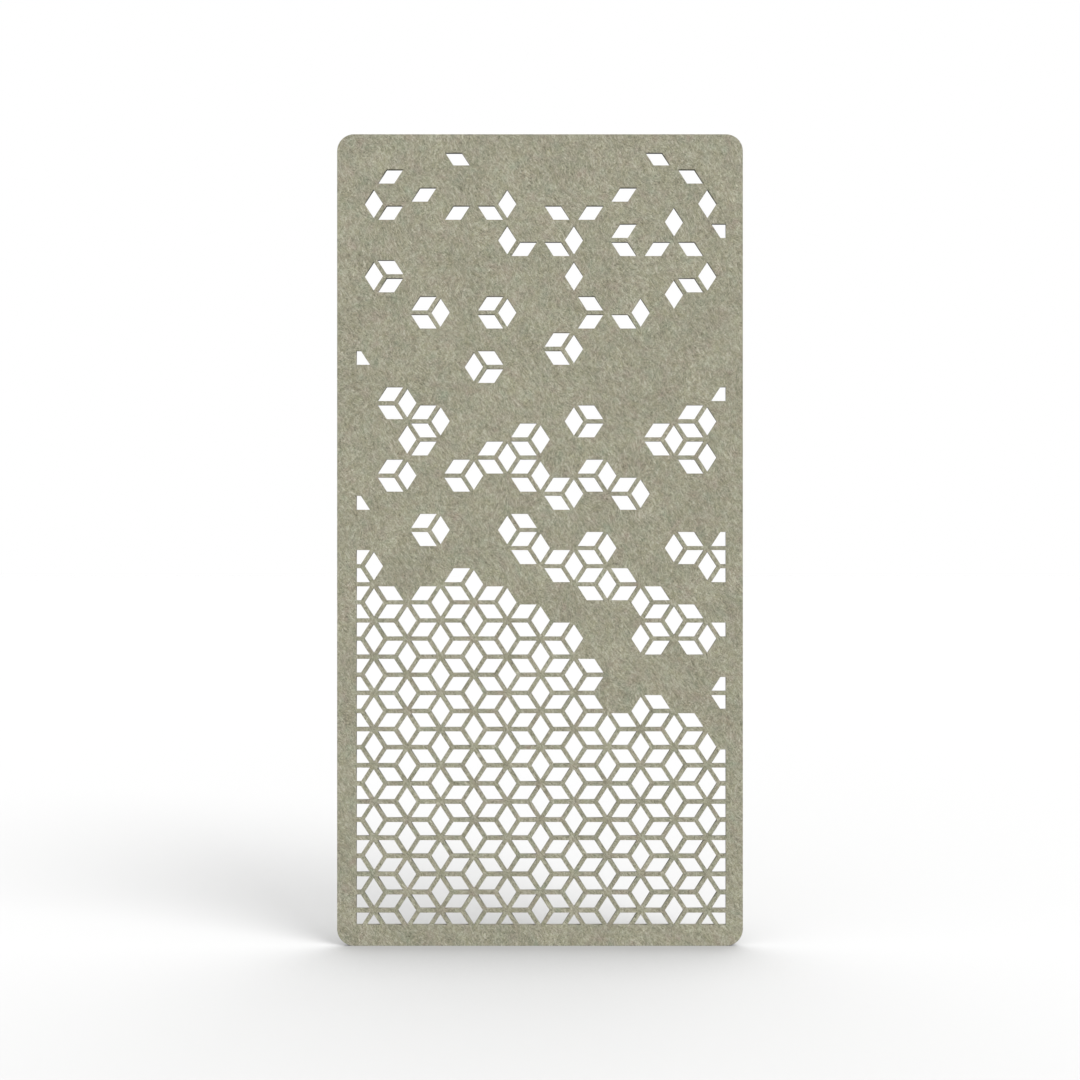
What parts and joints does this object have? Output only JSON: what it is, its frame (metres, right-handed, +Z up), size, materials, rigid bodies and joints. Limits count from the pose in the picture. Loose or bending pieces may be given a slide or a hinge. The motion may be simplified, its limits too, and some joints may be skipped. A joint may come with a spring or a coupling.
{
  "type": "hanging room divider panel",
  "caption": "Flat room divider panel of pressed felt with round corners, a cut-through tumbling-block lattice that thins out upwards, and threaded anchors in its top edge.",
  "frame": {"origin": "middle of the board's bottom edge, midway through its thickness, on the floor plane", "axes": "+Z up along the board's height, +X to the right seen from the front, front face towards -Y"},
  "size_m": [1.2, 0.012, 2.4],
  "materials": {
    "pressed_felt": "matt, melange fibres",
    "turned_brass": "turned, dull"
  },
  "bodies": {
    "root": {"felt_board": "pressed_felt", "hanging_anchor_left": "turned_brass", "hanging_anchor_right": "turned_brass"}
  },
  "joints": []
}
